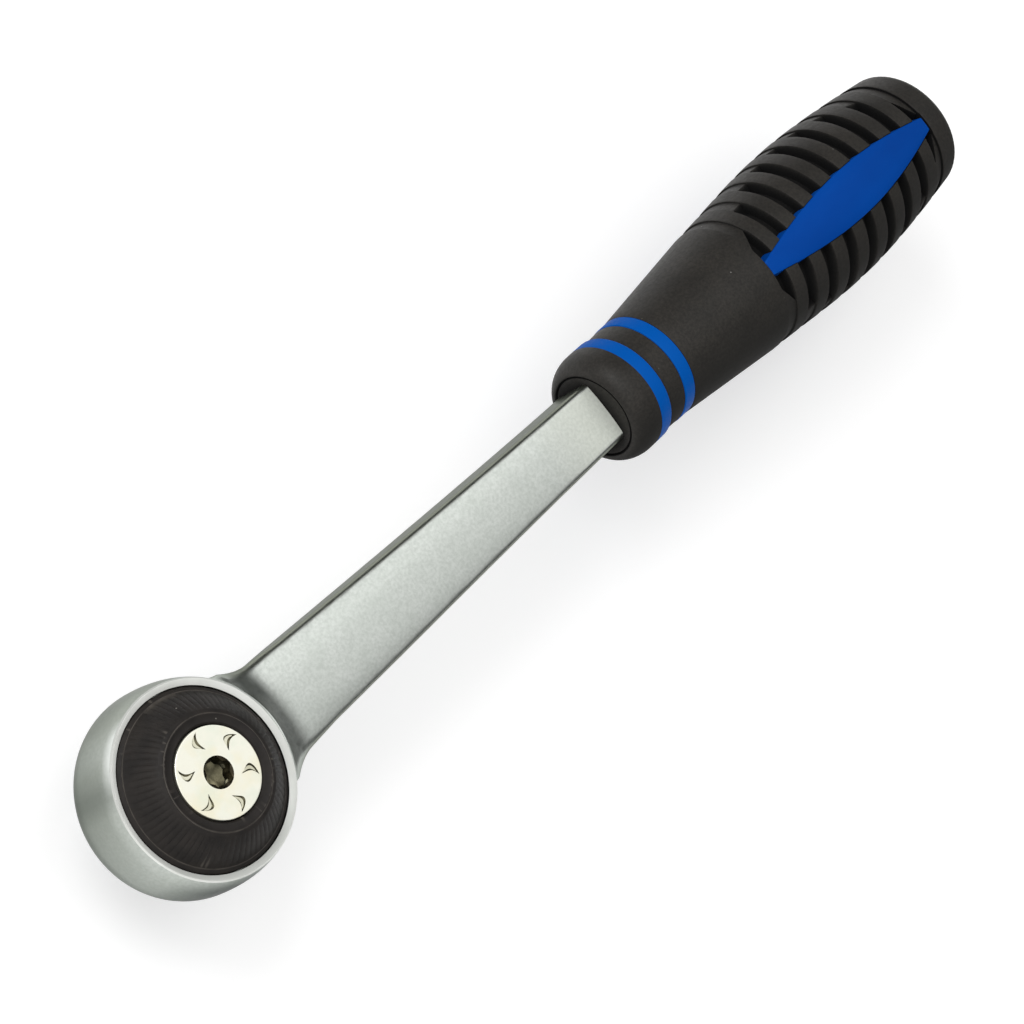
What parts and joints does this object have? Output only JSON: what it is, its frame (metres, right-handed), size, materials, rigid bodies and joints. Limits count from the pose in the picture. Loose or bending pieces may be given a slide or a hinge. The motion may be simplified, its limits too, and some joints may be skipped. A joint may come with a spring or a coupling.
{
  "type": "reversible ratchet",
  "caption": "Reversible ratchet with a round satin chrome head, a black reversing dial held by a pale screw, a square drive below, and a ribbed black and blue grip.",
  "frame": {"origin": "centre of the square drive's end face, where a socket is pushed on", "axes": "+Z along the drive axis up to the reversing dial, +X along the handle to its butt"},
  "size_m": [0.2585, 0.041, 0.0491],
  "materials": {
    "satin_chrome": "satin chrome plating",
    "tool_steel": "ground tool steel",
    "spring_steel": "drawn spring steel",
    "bright_ball": "polished bearing steel",
    "washer_brass": "stamped brass",
    "dial_black": "satin brownish black",
    "screw_zinc": "pale zinc plating",
    "seal_rubber": "smooth black rubber",
    "grip_soft_black": "matt black soft moulding",
    "grip_blue": "satin blue hard moulding"
  },
  "bodies": {
    "body": {"head_housing": "satin_chrome", "thrust_washer": "washer_brass", "snap_ring": "spring_steel", "grip_core": "grip_blue", "grip_nose": "grip_soft_black", "grip_band": "grip_soft_black", "grip_sleeve": "grip_soft_black"},
    "drive": {"drive_core": "tool_steel", "spindle_seal": "seal_rubber", "socket_ball_spring": "spring_steel", "pawl_spring_left": "spring_steel", "pawl_spring_right": "spring_steel", "detent_spring": "spring_steel", "wave_washer": "spring_steel", "dial_screw": "screw_zinc"},
    "dial": {"reversing_dial": "dial_black", "cam_plate": "tool_steel"},
    "left_pawl": {"pawl_left": "tool_steel"},
    "right_pawl": {"pawl_right": "tool_steel"},
    "socket_catch": {"socket_ball": "bright_ball"},
    "dial_detent": {"detent_ball": "bright_ball"}
  },
  "joints": [
    {"name": "drive_spin", "type": "hinge", "parent": "body", "child": "drive", "pos_m": [0, 0, 0.03], "axis": [0, 0, 1], "continuous": true},
    {"name": "dial_turn", "type": "hinge", "parent": "drive", "child": "dial", "pos_m": [0, 0, 0.035], "axis": [0, 0, 1], "range_deg": [0, 40]},
    {"name": "left_pawl_slide", "type": "slide", "parent": "drive", "child": "left_pawl", "axis": [0, 1, 0], "range_m": [-0.0014, 0], "deforming": ["pawl_spring_left"]},
    {"name": "right_pawl_slide", "type": "slide", "parent": "drive", "child": "right_pawl", "axis": [0, -1, 0], "range_m": [0, 0.0014], "deforming": ["pawl_spring_right"]},
    {"name": "socket_ball_press", "type": "slide", "parent": "drive", "child": "socket_catch", "axis": [0, 1, 0], "range_m": [0, 0.0009], "stiffness_N_per_m": 800, "deforming": ["socket_ball_spring"]},
    {"name": "detent_click", "type": "slide", "parent": "drive", "child": "dial_detent", "axis": [0, 0, 1], "range_m": [0, 0.0004], "stiffness_N_per_m": 600, "deforming": ["detent_spring"]}
  ],
  "couplings": [
    {"joint": "left_pawl_slide", "follows": "dial_turn", "m_per_rad": -0.002005},
    {"joint": "right_pawl_slide", "follows": "dial_turn", "m_per_rad": 0.002005}
  ]
}
